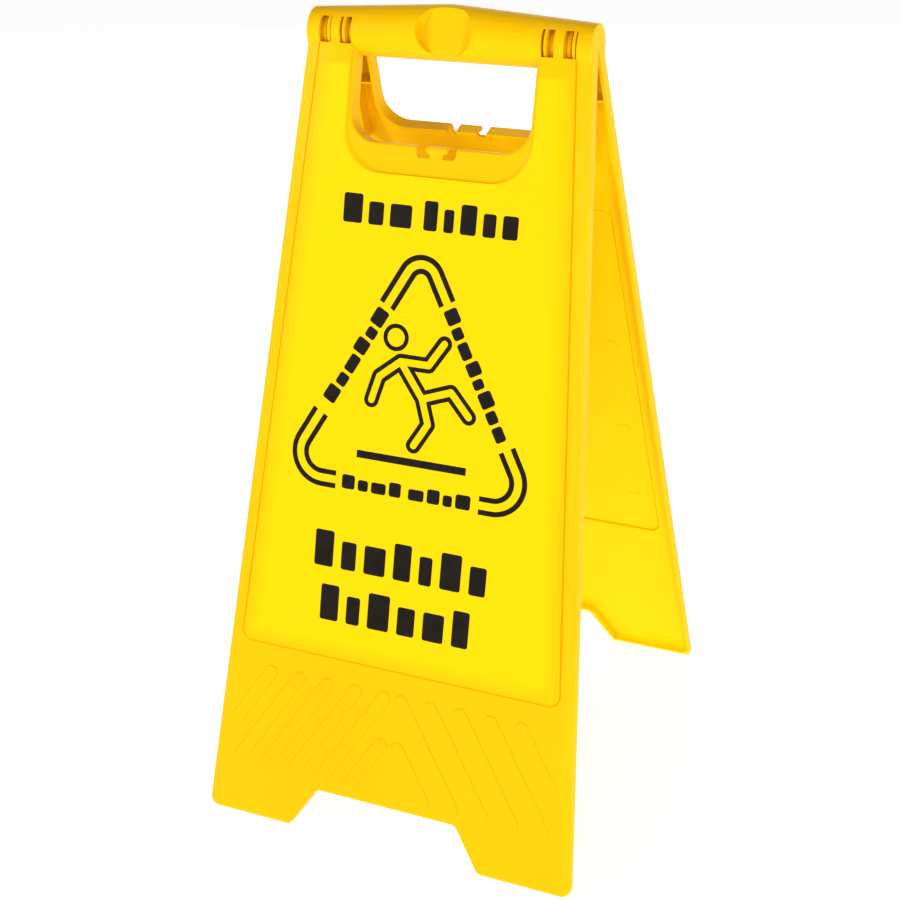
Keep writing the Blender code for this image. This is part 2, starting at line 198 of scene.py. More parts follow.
# Print
INK_THICKNESS = 0.00010
INK_ROOT = 0.00060
LINE_WIDTH = 0.0039
LINE_SPACING = 0.0098
TRIANGLE_MIDDLE = -0.0029
TRIANGLE_APEX_REACH = 0.1347
TRIANGLE_BASE_REACH = 0.3293
TRIANGLE_HALF_ANGLE = math.radians(29.1)
TRIANGLE_APEX_RADIUS = 0.0170
TRIANGLE_BASE_RADIUS = 0.0235
APEX_REACHES = (0.0605, 0.0530)
LEFT_REACHES = (0.0655, 0.0520)
RIGHT_REACHES = (0.0500, 0.0575)
FIGURE_LINE = 0.0032
LIMB_RADIUS = 0.0058
HEAD_PLACE = (-0.0190, 0.2120)
HEAD_RADIUS = 0.0100
FIGURE_LIMBS = {
    "body": ((-0.0140, 0.2290), (0.0050, 0.2540)),
    "front_arm": ((-0.0140, 0.2290), (0.0080, 0.2290), (0.0190, 0.2120)),
    "rear_arm": ((-0.0140, 0.2290), (-0.0300, 0.2420), (-0.0350, 0.2600)),
    "front_leg": ((0.0050, 0.2540), (0.0270, 0.2460), (0.0420, 0.2620)),
    "rear_leg": ((0.0050, 0.2540), (0.0110, 0.2720), (0.0010, 0.2890)),
}
FLOOR_BAR_HALF = 0.0435
FLOOR_BAR_REACH = 0.3018
FLOOR_BAR_WIDTH = 0.0057
HEAD_STEPS = 64

# Blocks that stand for words: each row is (x start, x end, blocks, place in the size patterns)
BLOCK_RADIUS = 0.0020
BLOCK_GAP = 0.24
BLOCK_WIDTHS = (1.0, 0.78, 1.12, 0.9, 0.66, 1.05, 0.84)
BLOCK_HEIGHTS = (1.0, 0.78, 0.78, 1.0, 0.78)
HEADLINE_REACH = 0.1335
HEADLINE_HEIGHT = 0.0210
HEADLINE_ROWS = ((-0.0677, -0.0140, 3, 0), (-0.0046, 0.0665, 5, 3))
FOOTER_HEIGHT = 0.0280
FOOTER_ROWS = ((0.3922, (-0.0724, 0.0665, 7, 0)), (0.4340, (-0.0648, 0.0565, 6, 3)))
SIDE_WORD_HEIGHT = 0.0108
SIDE_WORD_BREAKS = ((-1, 0.2680, 0.1960, 6), (1, 0.1895, 0.2780, 8))
BASE_ROWS = ((-0.0540, -0.0060, 4, 0), (0.0000, 0.0490, 4, 2))

ARC_STEPS = 10
SMOOTH_ANGLE = math.radians(32)

# Colours, as linear red, green, blue and alpha
# The face yellow is darkened as painted shade, and the field yellow is lightened as painted light.
SHADED_FACE_YELLOW = (0.92, 0.490, 0.001, 1.0)
LIT_FIELD_YELLOW = (0.95, 0.615, 0.001, 1.0)
# The inside yellow is lightened as painted light on the faces that look inward.
LIT_INSIDE_YELLOW = (0.95, 0.630, 0.001, 1.0)
DRIFT_YELLOW = (0.93, 0.575, 0.002, 1.0)
INK_DARK = (0.007, 0.005, 0.003, 1.0)
INK_PALE = (0.013, 0.009, 0.006, 1.0)
STEEL_DARK = (0.30, 0.28, 0.24, 1.0)
STEEL_PALE = (0.42, 0.40, 0.35, 1.0)
FLOOR_DARK = (0.42, 0.42, 0.42, 1.0)
FLOOR_PALE = (0.44, 0.44, 0.435, 1.0)
WHITE = (1.0, 1.0, 1.0, 1.0)
PLASTIC_SPECULAR = 0.05
INK_SPECULAR = 0.1

# Setting: each light is (name, place, height it points at as a share of the axis, size, watts)
LIGHTS = (
    ("key", (-1.9, -1.6, 1.3), 0.7, (0.8, 0.8), 31),
    ("right", (2.0, -2.1, 0.35), 0.5, (0.8, 0.8), 26),
    ("front", (0.8, -2.5, 0.95), 0.8, (0.7, 0.7), 15),
    ("back", (-0.8, 2.4, 1.2), 0.5, (1.0, 1.0), 18),
    ("edge", (2.6, 0.1, 0.5), 0.5, (0.6, 1.0), 24),
)
WORLD_STRENGTH = 0.32
FLOOR_SIZE = 40.0
FLOOR_GLOW = 0.80
CAMERA_AZIMUTH = math.radians(23.39)
CAMERA_ELEVATION = math.radians(26.53)
CAMERA_ROLL = math.radians(-1.38)
CAMERA_DISTANCE = 1.2434
CAMERA_TARGET = AXIS + Vector((-0.00968, 0.0, -0.32285))
CAMERA_LENS = 62.84
SENSOR_WIDTH = 36.0


# ---------------------------------------------------------------- outlines

def half_width(reach):
    return TOP_HALF_WIDTH + (FOOT_HALF_WIDTH - TOP_HALF_WIDTH) * reach / FOOT_REACH


def rear(z):
    """The y of the side walls' rear edges: on the parting plane at the hinge, less at the foot."""
    return -PARTING_GAP + REAR_TAPER * z / FOOT_REACH


def rounded_outline(corners):
    """A closed outline from (x, z, radius) corners, with an arc wherever the radius isn't zero."""
    points = []
    count = len(corners)
    for i, (x, z, radius) in enumerate(corners):
        corner = Vector((x, z))
        if radius == 0:
            points.append(corner)
            continue
        before = (Vector(corners[i - 1][:2]) - corner).normalized()
        after = (Vector(corners[(i + 1) % count][:2]) - corner).normalized()
        half = before.angle(after) / 2
        centre = corner + (before + after).normalized() * radius / math.sin(half)
        start = corner + before * radius / math.tan(half) - centre
        end = corner + after * radius / math.tan(half) - centre
        sweep = start.angle_signed(end)
        for step in range(ARC_STEPS + 1):
            points.append(centre + Matrix.Rotation(-sweep * step / ARC_STEPS, 2) @ start)
    return points


def grown(points, margin):
    """The outline moved outward by a margin, or inward if the margin is negative."""
    area = sum(a.x * b.y - b.x * a.y for a, b in zip(points, points[1:] + points[:1]))
    hand = 1 if area > 0 else -1
    moved = []
    for before, point, after in zip(points[-1:] + points[:-1], points, points[1:] + points[:1]):
        first = (point - before).normalized()
        second = (after - point).normalized()
        first_normal = Vector((first.y, -first.x)) * hand
        second_normal = Vector((second.y, -second.x)) * hand
        mitre = (first_normal + second_normal) / (1 + first_normal.dot(second_normal))
        moved.append(point + mitre * margin)
    return moved


def trapezoid(top, bottom, inset, radius):
    """The panel's taper from z = -top to z = -bottom, inset at its sides, rounded at its foot."""
    return rounded_outline(
        [
            (-half_width(top) + inset, -top, 0),
            (half_width(top) - inset, -top, 0),
            (half_width(bottom) - inset, -bottom, radius),
            (-half_width(bottom) + inset, -bottom, radius),
        ]
    )


def u_outline(half, top, bottom, radius):
    """A straight-sided outline with square upper corners and round lower ones."""
    corners = [(-half, -top, 0), (half, -top, 0), (half, -bottom, radius), (-half, -bottom, radius)]
    return rounded_outline(corners)


def panel_outline(margins):
    """The panel's outline moved outward by one margin at its sides and another at its foot."""
    side, foot = margins
    return trapezoid(0.0, FOOT_REACH + foot, -side, FOOT_CORNER_RADIUS + foot)


def edge_margins(depth):
    """How far in the outer face's side and foot edges lie at a depth below the face.

    The sides slope back over a wide strip before they round over. The foot only rounds over.
    """
    foot = -EDGE_ROUNDING + math.sqrt(EDGE_ROUNDING**2 - (EDGE_ROUNDING - depth) ** 2)
    radius = EDGE_ROUNDING - SIDE_DROP
    if depth <= SIDE_DROP:
        return -radius - (SIDE_SLOPE - radius) * (1 - depth / SIDE_DROP), foot
    return -radius + math.sqrt(radius**2 - (EDGE_ROUNDING - depth) ** 2), foot


def field_outline(margin):
    radius = max(FIELD_CORNER_RADIUS + margin, FIELD_SMALLEST_RADIUS)
    return trapezoid(0.0, FIELD_REACH + margin, FIELD_MARGIN - margin, radius)


def recess_outline(share):
    """The finger recess, from its rim at share 0 to its floor at share 1."""
    half = RECESS_HALF_WIDTH - RECESS_SLOPE * share
    bottom = RECESS_REACH - RECESS_SLOPE / 3 * share
    return u_outline(half, -OVERRUN, bottom, RECESS_CORNER_RADIUS + RECESS_CORNER_SLOPE * share)


def opening_outline(margin):
    half = OPENING_HALF_WIDTH + margin
    return u_outline(half, -OVERRUN, OPENING_REACH + margin, OPENING_CORNER_RADIUS + margin)


def cutout_outline(margin):
    """The arch between the feet, widened by a margin, with its lower corners flared round."""
    top = -FOOT_REACH + CUTOUT_HEIGHT + margin
    foot = -FOOT_REACH + CUTOUT_LIP
    right = [
        (CUTOUT_TOP_HALF_WIDTH + margin, top, CUTOUT_CORNER_RADIUS),
        (CUTOUT_HALF_WIDTH + margin, foot, CUTOUT_CORNER_RADIUS),
        (CUTOUT_HALF_WIDTH + margin + OVERRUN / 2, foot, 0),
        (CUTOUT_HALF_WIDTH + margin + OVERRUN / 2, foot - OVERRUN, 0),
    ]
    left = [(-x, z, radius) for x, z, radius in reversed(right)]
    return rounded_outline(right + left)


def slot_outline(side):
    """A slot beside the tongue, hooked inward at its foot."""
    top = -OPENING_REACH + 3 * OPENING_LIP
    corners = [
        (side * SLOT_INNER, top, 0),
        (side * SLOT_INNER, -SLOT_HOOK_REACH + SLOT_HOOK_RISE, SLOT_NECK_RADIUS),
        (side * SLOT_HOOK, -SLOT_HOOK_REACH, SLOT_TIP_RADIUS),
        (side * SLOT_HOOK, -SLOT_REACH, SLOT_HEEL_RADIUS),
        (side * (SLOT_OUTER - SLOT_DRAFT), -SLOT_REACH, SLOT_CORNER_RADIUS),
        (side * SLOT_OUTER, top, 0),
    ]
    return rounded_outline(corners)


def stripe_outline(side, index):
    """A round-ended relief stripe that leans towards the middle, or None where there is no room."""
    radius = STRIPE_WIDTH / 2
    tilt = math.tan(STRIPE_LEAN)
    foot_x = STRIPE_FIRST + index * STRIPE_PITCH
    foot_z = -STRIPE_FOOT_REACH
    edge_x = -half_width(STRIPE_FOOT_REACH) + STRIPE_EDGE_MARGIN
    if foot_x < edge_x:
        foot_z += (edge_x - foot_x) / tilt
        foot_x = edge_x
    top_z = -STRIPE_TOP_REACH
    top_x = foot_x + (top_z - foot_z) * tilt
    if top_x > -STRIPE_MIDDLE_GAP:
        top_z -= (top_x + STRIPE_MIDDLE_GAP) / tilt
        top_x = -STRIPE_MIDDLE_GAP
    if top_z <= foot_z:
        return None
    outline = []
    for centre_x, centre_z, first in ((top_x, top_z, 0.0), (foot_x, foot_z, math.pi)):
        for step in range(ARC_STEPS + 1):
            angle = first - STRIPE_LEAN + math.pi * step / ARC_STEPS
            along = centre_x + radius * math.cos(angle)
            outline.append(Vector((side * along, centre_z + radius * math.sin(angle))))
    return outline


# ---------------------------------------------------------------- solids

def mesh_from_bmesh(builder, name):
    bmesh.ops.recalc_face_normals(builder, faces=builder.faces[:])
    mesh = bpy.data.meshes.new(name)
    builder.to_mesh(mesh)
    builder.free()
    return mesh


def object_from_bmesh(builder, name):
    obj = bpy.data.objects.new(name, mesh_from_bmesh(builder, name))
    bpy.context.scene.collection.objects.link(obj)
    return obj


def join_rings(builder, pairs):
    """Faces between each pair of rings, which have the same number of vertices."""
    for first, second in pairs:
        for i in range(len(first)):
            j = (i + 1) % len(first)
            builder.faces.new((first[i], first[j], second[j], second[i]))


def skin(builder, rings):
    """A closed surface through the rings, capped at both ends."""
    builder.faces.new(rings[0])
    builder.faces.new(rings[-1])
    join_rings(builder, zip(rings, rings[1:]))


def loft(name, outline_at, profile):
    """A solid through one ring for each (y, value) of the profile, from outline_at(value)."""
    builder = bmesh.new()
    rings = []
    for y, value in profile:
        outline = outline_at(value)
        places = [(p.x, y(p.y) if callable(y) else y, p.y) for p in outline]
        rings.append([builder.verts.new(place) for place in places])
    skin(builder, rings)
    return object_from_bmesh(builder, name)


def fillet(y, value, radius, outward, steps=6):
    """Profile entries for a quarter round that starts on the plane y and ends at the given value.

    outward is 1 for a cutter that flares towards the plane and -1 for a solid's rounded edge.
    """
    entries = []
    for step in range(steps + 1):
        angle = math.pi / 2 * step / steps
        shift = radius * (1 - math.sin(angle)) * outward
        entries.append((y + radius * (1 - math.cos(angle)), value + shift))
    return entries


def box(name, low, high):
    builder = bmesh.new()
    size = Vector(high) - Vector(low)
    place = Matrix.Translation((Vector(high) + Vector(low)) / 2) @ Matrix.Diagonal((*size, 1))
    bmesh.ops.create_cube(builder, size=1.0, matrix=place)
    return object_from_bmesh(builder, name)


def lathe(name, profile, place, sides=BARREL_SIDES):
    """A closed solid of (distance along the axis, radius) entries turned about the local x axis."""
    builder = bmesh.new()
    rings = []
    for along, radius in profile:
        ring = []
        for i in range(sides):
            angle = 2 * math.pi * i / sides
            spot = Vector((along, radius * math.cos(angle), radius * math.sin(angle)))
            ring.append(builder.verts.new(place @ spot))
        rings.append(ring)
    skin(builder, rings)
    return object_from_bmesh(builder, name)


def barrel_radius(x):
    share = 1 - abs(x) / TOP_HALF_WIDTH
    return BARREL_END_RADIUS + (BARREL_MIDDLE_RADIUS - BARREL_END_RADIUS) * share


def half_barrel(name, start, end, inset, shave=0.0, edge=0.0):
    """The part of the barrel between two places on the hinge axis that belongs to one panel."""
    builder = bmesh.new()
    stations = sorted({start, end} | ({0.0} if start < 0.0 < end else set()))
    loops = []
    for x in stations:
        radius = barrel_radius(x) - inset
        rise = barrel_radius(x) - BARREL_END_RADIUS
        place = Matrix.Translation((x, 0, rise)) @ Matrix.Rotation(math.pi / 2, 4, "Y")
        made = bmesh.ops.create_circle(builder, segments=BARREL_SIDES, radius=radius, matrix=place)
        loops.append(made["verts"])
    for first, second in zip(loops, loops[1:]):
        edges = {e for v in first + second for e in v.link_edges if len(e.link_faces) < 2}
        bmesh.ops.bridge_loops(builder, edges=list(edges))
    bmesh.ops.holes_fill(builder, edges=[e for e in builder.edges if len(e.link_faces) == 1])
    stop_normal = Vector((0, math.cos(OPEN_HALF_ANGLE), math.sin(OPEN_HALF_ANGLE)))
    for normal in (Vector((0, 1, 0)), stop_normal):
        geometry = builder.verts[:] + builder.edges[:] + builder.faces[:]
        place = -normal * (PARTING_GAP + shave)
        bmesh.ops.bisect_plane(
            builder, geom=geometry, plane_co=place, plane_no=normal, clear_outer=True
        )
        bmesh.ops.holes_fill(builder, edges=[e for e in builder.edges if len(e.link_faces) == 1])
    if edge:
        bmesh.ops.recalc_face_normals(builder, faces=builder.faces[:])
        sharp = [e for e in builder.edges if e.calc_face_angle(0.0) > BARREL_SHARP_ANGLE]
        bmesh.ops.bevel(builder, geom=sharp, offset=edge, segments=3, profile=0.5, affect="EDGES")
    return object_from_bmesh(builder, name)


def thumb_pocket(name, extra):
    """A round pocket in the middle of the barrel, with a flat floor and a fillet round it."""
    rise = BARREL_MIDDLE_RADIUS - BARREL_END_RADIUS
    reach = BARREL_MIDDLE_RADIUS + OVERRUN / 10
    slope = (THUMB_MOUTH_RADIUS - THUMB_FLOOR_RADIUS) / (reach - THUMB_FLOOR)
    profile = []
    for depth, shift in fillet(THUMB_FLOOR - extra, 0.0, THUMB_FILLET, -1, steps=4):
        radius = THUMB_FLOOR_RADIUS + extra + shift + slope * (depth - THUMB_FLOOR)
        profile.append((depth, radius))
    profile.append((reach, THUMB_MOUTH_RADIUS + extra))
    place = Matrix.Translation((0, 0, rise)) @ Matrix.Rotation(-math.pi / 2, 4, "Z")
    return lathe(name, profile, place)


def disc(name, x, radius, length, edge=0.0, sides=BARREL_SIDES):
    half = length / 2
    if edge:
        rim = radius - edge
        profile = [(-half, rim), (-half + edge, radius), (half - edge, radius), (half, rim)]
    else:
        profile = [(-half, radius), (half, radius)]
    return lathe(name, profile, Matrix.Translation((x, 0, 0)), sides)


def boolean(target, cutter, operation):
    modifier = target.modifiers.new(cutter.name, "BOOLEAN")
    modifier.operation = operation
    modifier.solver = "EXACT"
    modifier.object = cutter


def frozen(obj, name):
    """The object's mesh with its modifiers applied, as a new mesh."""
    bpy.context.view_layer.update()
    evaluated = obj.evaluated_get(bpy.context.evaluated_depsgraph_get())
    mesh = bpy.data.meshes.new_from_object(evaluated)
    mesh.name = name
    return mesh


def remove_helpers(before):
    """Removes every object that isn't in the given set."""
    for helper in set(bpy.data.objects) - before:
        bpy.data.objects.remove(helper, do_unlink=True)


# ---------------------------------------------------------------- one panel

def hollow_outline(margins):
    """The inside of the side walls and the foot, moved outward by one margin each."""
    side, foot = margins
    return trapezoid(0.0, FOOT_REACH - FOOT_RIM + foot, WALL - side, FOOT_CORNER_RADIUS + foot)


def hollow_field_outline(margin):
    reach = FIELD_REACH - WALL + margin
    return trapezoid(0.0, reach, FIELD_MARGIN + WALL - margin, FIELD_CORNER_RADIUS + margin)


def hollow_recess_outline(margin):
    half = RECESS_HALF_WIDTH + WALL + margin
    radius = RECESS_CORNER_RADIUS + WALL + margin
    return u_outline(half, -OVERRUN, RECESS_REACH + WALL + margin, radius)


def flange_outline(margin):
    half = OPENING_HALF_WIDTH + margin
    return u_outline(half, 0.0, OPENING_REACH + margin, OPENING_CORNER_RADIUS + margin)


def hollow():
    """The open space inside a panel, as one solid."""
    inner = -FACE_OFFSET + WALL
    soft = HOLLOW_ROUNDING
    profile = [
        (inner, (WALL - SIDE_SLOPE, -soft)),
        (inner + SIDE_DROP, (-soft * 0.7, -soft * 0.3)),
        (inner + SIDE_DROP + soft * 0.3, (-soft * 0.3, -soft * 0.1)),
        (inner + SIDE_DROP + soft, (0.0, 0.0)),
        (OVERRUN, (HOLLOW_DRAFT, HOLLOW_DRAFT)),
    ]
    base = loft("hollow", hollow_outline, profile)
    profile = [(inner - FIELD_HEIGHT, -FIELD_SLOPE)]
    profile += [(inner - depth, margin) for depth, margin in HOLLOW_FIELD_EDGE]
    profile.append((OVERRUN / 2, 0.0))
    boolean(base, loft("hollow_field", hollow_field_outline, profile), "UNION")
    floor = inner - FIELD_HEIGHT + RECESS_DEPTH
    depth, margin = HOLLOW_RECESS_EDGE
    profile = [
        (-FACE_OFFSET - OVERRUN, HOLLOW_RECESS_ROUNDING),
        (floor - RECESS_DEPTH, HOLLOW_RECESS_ROUNDING),
        (floor - depth, margin),
        (floor, 0.0),
    ]
    boolean(base, loft("hollow_recess", hollow_recess_outline, profile), "DIFFERENCE")
    rim = loft("hollow_rim", cutout_outline, [(-FACE_OFFSET - OVERRUN, WALL), (2 * OVERRUN, WALL)])
    boolean(base, rim, "DIFFERENCE")
    outer_end = TOP_HALF_WIDTH - WALL
    walls = [-outer_end - RIB / 2, -RIB_PLACES[1], -RIB_PLACES[0], RIB_PLACES[0], RIB_PLACES[1]]
    walls.append(outer_end + RIB / 2)
    for index, (start, end) in enumerate(zip(walls, walls[1:])):
        name = f"hollow_barrel_{index}"
        room = half_barrel(name, start + RIB / 2, end - RIB / 2, WALL, shave=-OVERRUN)
        boolean(base, room, "UNION")
    boolean(base, thumb_pocket("hollow_thumb", WALL), "DIFFERENCE")
    profile = [(-FACE_OFFSET - OVERRUN, FLANGE), (2 * OVERRUN, FLANGE)]
    flange = loft("hollow_flange", flange_outline, profile)
    length = OPENING_HALF_WIDTH + OVERRUN / 2
    barrel = half_barrel("hollow_flange_barrel", -length, length, WALL, shave=-OVERRUN)
    boolean(flange, barrel, "DIFFERENCE")
    boolean(base, flange, "DIFFERENCE")
    for side in (-1, 1):
        hand = "lr"[side > 0]
        middle = side * POST_RIB_PLACE
        low = (middle - POST_RIB / 2, -FACE_OFFSET, -POST_RIB_END)
        high = (middle + POST_RIB / 2, 2 * OVERRUN, -BARREL_END_RADIUS)
        boolean(base, box(f"hollow_post_rib_{hand}", low, high), "DIFFERENCE")
        ends = sorted((side * OPENING_HALF_WIDTH, side * (TOP_HALF_WIDTH + OVERRUN / 2)))
        low = (ends[0], -FACE_OFFSET, -CROSS_RIB_REACH - POST_RIB)
        high = (ends[1], 2 * OVERRUN, -CROSS_RIB_REACH)
        boolean(base, box(f"hollow_cross_rib_{hand}", low, high), "DIFFERENCE")
    return base


def add_relief(panel):
    """The groove round the print field, the raised field itself and the finger recess."""
    profile = [(-FACE_OFFSET - OVERRUN, GROOVE), (-FACE_OFFSET, GROOVE)]
    profile.append((-FACE_OFFSET + GROOVE * 0.7, GROOVE / 2))
    boolean(panel, loft("groove", field_outline, profile), "DIFFERENCE")
    top = -FACE_OFFSET - FIELD_HEIGHT
    step = -FACE_OFFSET - FIELD_STEP
    profile = [(top, -FIELD_SLOPE)] + [(step + depth, margin) for depth, margin in FIELD_EDGE]
    profile.append((-FACE_OFFSET + WALL / 2, 0.0))
    boolean(panel, loft("field", field_outline, profile), "UNION")
    profile = [(top - OVERRUN, RECESS_FLARE)]
    for index in range(RECESS_STEPS + 1):
        share = index / RECESS_STEPS
        depth = RECESS_DEPTH * share * share * (3 - 2 * share)
        profile.append((top - LIFT + depth, share))
    boolean(panel, loft("finger_recess", recess_outline, profile), "DIFFERENCE")


def inner_border(margin):
    """The border of the field's hollow side below the handle opening, moved outward by a margin."""
    top = INNER_BORDER_TOP - margin
    bottom = FIELD_REACH - WALL + margin
    inset = FIELD_MARGIN + WALL - margin
    radius = FIELD_CORNER_RADIUS + margin
    corners = []
    for side, reach in ((-1, top), (1, top), (1, bottom), (-1, bottom)):
        corners.append((side * (half_width(reach) - inset), -reach, radius))
    return rounded_outline(corners)


def add_inner_groove(panel):
    """A narrow groove along the border of the field's hollow side."""
    deep = -FACE_OFFSET + WALL - INNER_GROOVE_DEPTH
    clear = -FACE_OFFSET + WALL + SIDE_DROP
    profile = zip((deep, deep, clear, clear), INNER_GROOVE_MARGINS)
    builder = bmesh.new()
    rings = [[builder.verts.new((p.x, y, p.y)) for p in inner_border(m)] for y, m in profile]
    join_rings(builder, zip(rings, rings[1:] + rings[:1]))
    boolean(panel, object_from_bmesh(builder, "inner_groove"), "DIFFERENCE")


def add_stripes(panel):
    front = -FACE_OFFSET - STRIPE_RELIEF
    for side in (-1, 1):
        for index in range(STRIPE_COUNT):
            outline = stripe_outline(side, index)
            if outline:
                profile = [(front + depth, margin) for depth, margin in STRIPE_EDGE]
                profile.append((-FACE_OFFSET + WALL / 2, 0.0))
                stripe = loft(f"stripe_{side}_{index}", lambda m: grown(outline, m), profile)
                boolean(panel, stripe, "UNION")


def add_ejector_marks(panel):
    for side in (-1, 1):
        for index, (x, reach) in enumerate(EJECTOR_PLACES):
            if side < 0 and x == 0:
                continue
            inner = -FACE_OFFSET + WALL - (FIELD_HEIGHT if reach < FIELD_REACH else 0.0)
            turn = Matrix.Rotation(math.pi / 2, 4, "Z")
            place = Matrix.Translation((side * x, inner, -reach)) @ turn
            profile = [(-WALL / 2, EJECTOR_RADIUS), (EJECTOR_HEIGHT, EJECTOR_RADIUS)]
            mark = lathe(f"ejector_{side}_{index}", profile, place, EJECTOR_SIDES)
            boolean(panel, mark, "UNION")


def add_hinge(panel):
    """The windows in the barrel and the knuckle discs behind them."""
    for side in (-1, 1):
        for place in WINDOW_PLACES:
            middle = side * place
            left = middle - WINDOW_WIDTH / 2
            right = middle + WINDOW_WIDTH / 2
            top = WINDOW_HEIGHT / 2
            corners = ((left, top), (right, top), (right, -top), (left, -top))
            outline = rounded_outline([(x, z, WINDOW_CORNER_RADIUS) for x, z in corners])
            profile = [(-FACE_OFFSET - OVERRUN, 0.0), (-KNUCKLE_RADIUS / 2, 0.0)]
            window = loft(f"window_{middle:.4f}", lambda m: grown(outline, m), profile)
            boolean(panel, window, "DIFFERENCE")
    inner, outer = WINDOW_PLACES
    step = KNUCKLE_STEP
    for index, x in enumerate((inner - step, outer + step, -inner - step, -outer + step)):
        half = KNUCKLE_WEB / 2
        name = f"knuckle_web_{index}"
        web = half_barrel(name, x - half, x + half, KNUCKLE_WEB_INSET, shave=PARTING_GAP)
        boolean(panel, web, "UNION")
        knuckle = disc(f"knuckle_disc_{index}", x, KNUCKLE_RADIUS, KNUCKLE, edge=KNUCKLE_EDGE)
        boolean(panel, knuckle, "UNION")
    for side in (-1, 1):
        middle = side * (PIN_START + PIN_END) / 2
        length = PIN_END - PIN_START + PIN_HOLE_EXTRA
        hole = disc(f"pin_hole_{side}", middle, PIN_HOLE_RADIUS, length, sides=PIN_SIDES)
        boolean(panel, hole, "DIFFERENCE")


def floor_cutter():
    """Everything below the floor, as it lies when the sign stands open."""
    low = (-2 * FOOT_HALF_WIDTH, -FOOT_REACH, -FOOT_REACH - AXIS.z)
    high = (2 * FOOT_HALF_WIDTH, FOOT_REACH, -AXIS.z)
    floor = box("below_floor", low, high)
    floor.rotation_euler.x = OPEN_HALF_ANGLE
    return floor


def panel_mesh():
    """One panel, hanging from the hinge axis at the origin."""
    before = set(bpy.data.objects)
    profile = [(-FACE_OFFSET + depth, edge_margins(depth)) for depth in EDGE_DEPTHS]
    profile.append((rear, (0.0, 0.0)))
    panel = loft("panel_blank", panel_outline, profile)
    add_relief(panel)
    face = -FACE_OFFSET - FIELD_HEIGHT + RECESS_DEPTH
    profile = [(face - OVERRUN, OPENING_LIP), (face - LIFT, OPENING_LIP)]
    profile += fillet(face, 0.0, OPENING_LIP, 1)[1:] + [(OVERRUN, 0.0)]
    boolean(panel, loft("handle_opening", opening_outline, profile), "DIFFERENCE")
    barrel = half_barrel("barrel", -TOP_HALF_WIDTH, TOP_HALF_WIDTH, 0.0, edge=BARREL_EDGE)
    boolean(panel, barrel, "UNION")
    boolean(panel, hollow(), "DIFFERENCE")
    boolean(panel, thumb_pocket("thumb_pocket", 0.0), "DIFFERENCE")
    for side in (-1, 1):
        outline = slot_outline(side)
        profile = [(-FACE_OFFSET - OVERRUN, 0.0), (OVERRUN, 0.0)]
        boolean(panel, loft(f"slot_{side}", lambda m: grown(outline, m), profile), "DIFFERENCE")
    lip = CUTOUT_FILLET
    profile = [(-FACE_OFFSET - OVERRUN, lip), (-FACE_OFFSET - LIFT, lip)]
    profile += fillet(-FACE_OFFSET, 0.0, lip, 1, steps=4)[1:] + [(OVERRUN, 0.0)]
    boolean(panel, loft("foot_cutout", cutout_outline, profile), "DIFFERENCE")
    boolean(panel, floor_cutter(), "DIFFERENCE")
    add_stripes(panel)
    add_inner_groove(panel)
    add_ejector_marks(panel)
    add_hinge(panel)
    mesh = frozen(panel, "panel")
    remove_helpers(before)
    return mesh


# ---------------------------------------------------------------- print

def ink_mesh(name, solids):
    """One mesh of ink from functions that each add a shape to it."""
    builder = bmesh.new()
    for add in solids:
        add(builder)
    return mesh_from_bmesh(builder, name)


def ink_layers():
    top = -FACE_OFFSET - FIELD_HEIGHT
    return top - INK_THICKNESS, top + INK_ROOT


def ink_area(outline):
    """Adds a filled outline in x and z."""
    def add(builder):
        front, back = ink_layers()
        rings = [[builder.verts.new((p.x, y, p.y)) for p in outline] for y in (front, back)]
        skin(builder, rings)
    return add


def ink_line(path, width, closed=False):
    """Adds a line of one width along a path in x and z."""
    def add(builder):
        front, back = ink_layers()
        count = len(path)
        sections = []
        for i, point in enumerate(path):
            before = path[(i - 1) % count] - point if closed or i else Vector((0, 0))
            after = path[(i + 1) % count] - point if closed or i < count - 1 else Vector((0, 0))
            first = -before.normalized() if before.length else after.normalized()
            second = after.normalized() if after.length else first
            along = (first + second).normalized()
            across = Vector((along.y, -along.x)) * width / 2 / max(along.dot(first), 0.5)
            corners = [point + across, point - across]
            places = [(p.x, y, p.y) for y in (front, back) for p in corners]
            sections.append([builder.verts.new(place) for place in places])
        following = sections[1:] + sections[:1] if closed else sections[1:]
        for (a, b, c, d), (e, f, g, h) in zip(sections, following):
            for quad in ((a, b, f, e), (c, d, h, g), (a, c, g, e), (b, d, h, f)):
                builder.faces.new(quad)
        if not closed:
            for a, b, c, d in (sections[0], sections[-1]):
                builder.faces.new((a, b, d, c))
    return add


def arc(centre, radius, start, end, steps=ARC_STEPS * 2):
    """Points on an arc. Angles are measured from +x towards +z."""
    points = []
    for step in range(steps + 1):
        angle = start + (end - start) * step / steps
        points.append(centre + radius * Vector((math.cos(angle), math.sin(angle))))
    return points


def block(corner, along, width, height):
    """A rounded block that stands for a printed character, from its lower left corner."""
    across = Vector((-along.y, along.x))
    size = ((0, height), (width, height), (width, 0), (0, 0))
    outline = rounded_outline([(x, z, BLOCK_RADIUS) for x, z in size])
    return ink_area([corner + along * p.x + across * p.y for p in outline])


def word_blocks(start, end, height, count, first=0):
    """A row of blocks that stand on the line between two points, in mixed widths and heights."""
    gap = height * BLOCK_GAP
    length = (end - start).length
    along = (end - start).normalized()
    shares = [BLOCK_WIDTHS[(first + i) % len(BLOCK_WIDTHS)] for i in range(count)]
    unit = (length - gap * (count - 1)) / sum(shares)
    blocks = []
    place = 0.0
    for index, share in enumerate(shares):
        width = share * unit
        tall = height * BLOCK_HEIGHTS[(first + index) % len(BLOCK_HEIGHTS)]
        blocks.append(block(start + along * place, along, width, tall))
        place += width + gap
    return blocks


